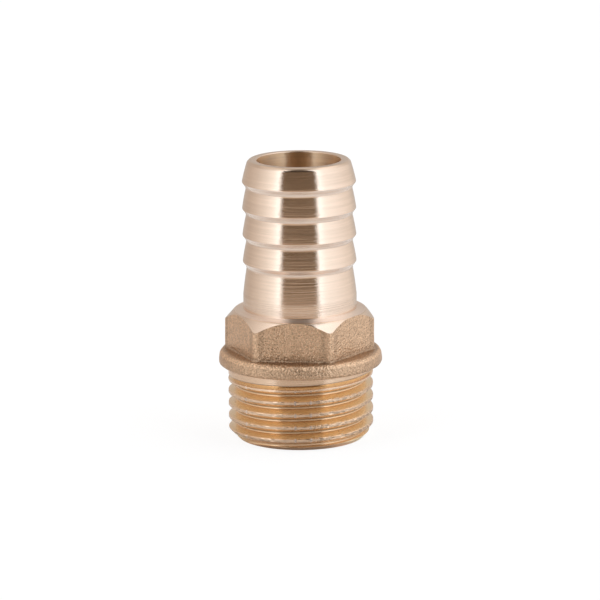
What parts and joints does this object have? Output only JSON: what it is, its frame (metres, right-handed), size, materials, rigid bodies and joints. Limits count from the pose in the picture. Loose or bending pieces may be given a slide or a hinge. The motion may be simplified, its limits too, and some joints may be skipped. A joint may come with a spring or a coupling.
{
  "type": "hose nipple with male pipe thread",
  "caption": "Brass hose nipple: a barbed tail for a 16 mm hose, a spanner hexagon with a collar, and a male G 1/2 pipe thread.",
  "frame": {"origin": "middle of the thread's end face, which is the lowest face of the part", "axes": "+Z along the bore, from the thread's end face to the mouth of the hose tail; -Y out of one flat of the hexagon"},
  "size_m": [0.0234, 0.0234, 0.0403],
  "materials": {
    "brass": "turned bright on the tail and the thread, dull forged skin on the hexagon and the collar"
  },
  "bodies": {
    "root": {"hose_nipple": "brass"}
  },
  "joints": []
}
